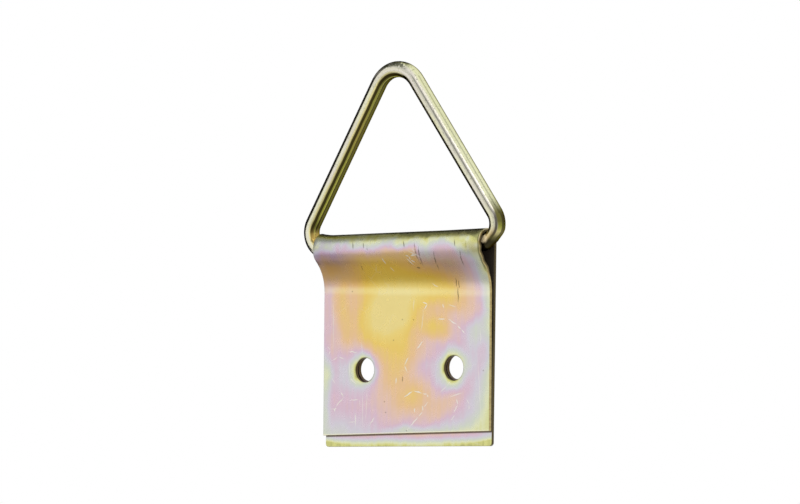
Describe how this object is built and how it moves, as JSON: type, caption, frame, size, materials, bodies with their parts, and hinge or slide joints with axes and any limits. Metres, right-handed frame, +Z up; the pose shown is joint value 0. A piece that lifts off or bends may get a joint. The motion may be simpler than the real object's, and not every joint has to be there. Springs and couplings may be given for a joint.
{
  "type": "triangle ring picture hanger",
  "caption": "Sheet strip folded round the base of a bent wire triangle ring: a screw-on hanger plate whose ring swings in the fold, for hanging a picture or mirror on a wall hook.",
  "frame": {"origin": "on the rear leaf's flat back face, in the middle of the strip's width, level with the screw holes", "axes": "+X along the hinge, to the right as seen from the front; +Y out of the back face, into what the hanger is screwed to; +Z up towards the ring"},
  "size_m": [0.0478, 0.0067, 0.0714],
  "materials": {
    "plate_plating": "yellow-passivated zinc plating on sheet steel, semi-gloss, iridescent from gold to pink, lilac and pale blue-green, finely scratched",
    "wire_plating": "yellow-passivated zinc plating on drawn steel wire, bright, greenish gold with pale lilac reflections"
  },
  "bodies": {
    "plate": {"folded_plate": "plate_plating"},
    "ring": {"triangle_ring": "wire_plating"}
  },
  "joints": [
    {"name": "ring_swing", "type": "hinge", "parent": "plate", "child": "ring", "pos_m": [0, -0.0027, 0.0226], "axis": [1, 0, 0], "range_deg": [-148, 168]}
  ]
}
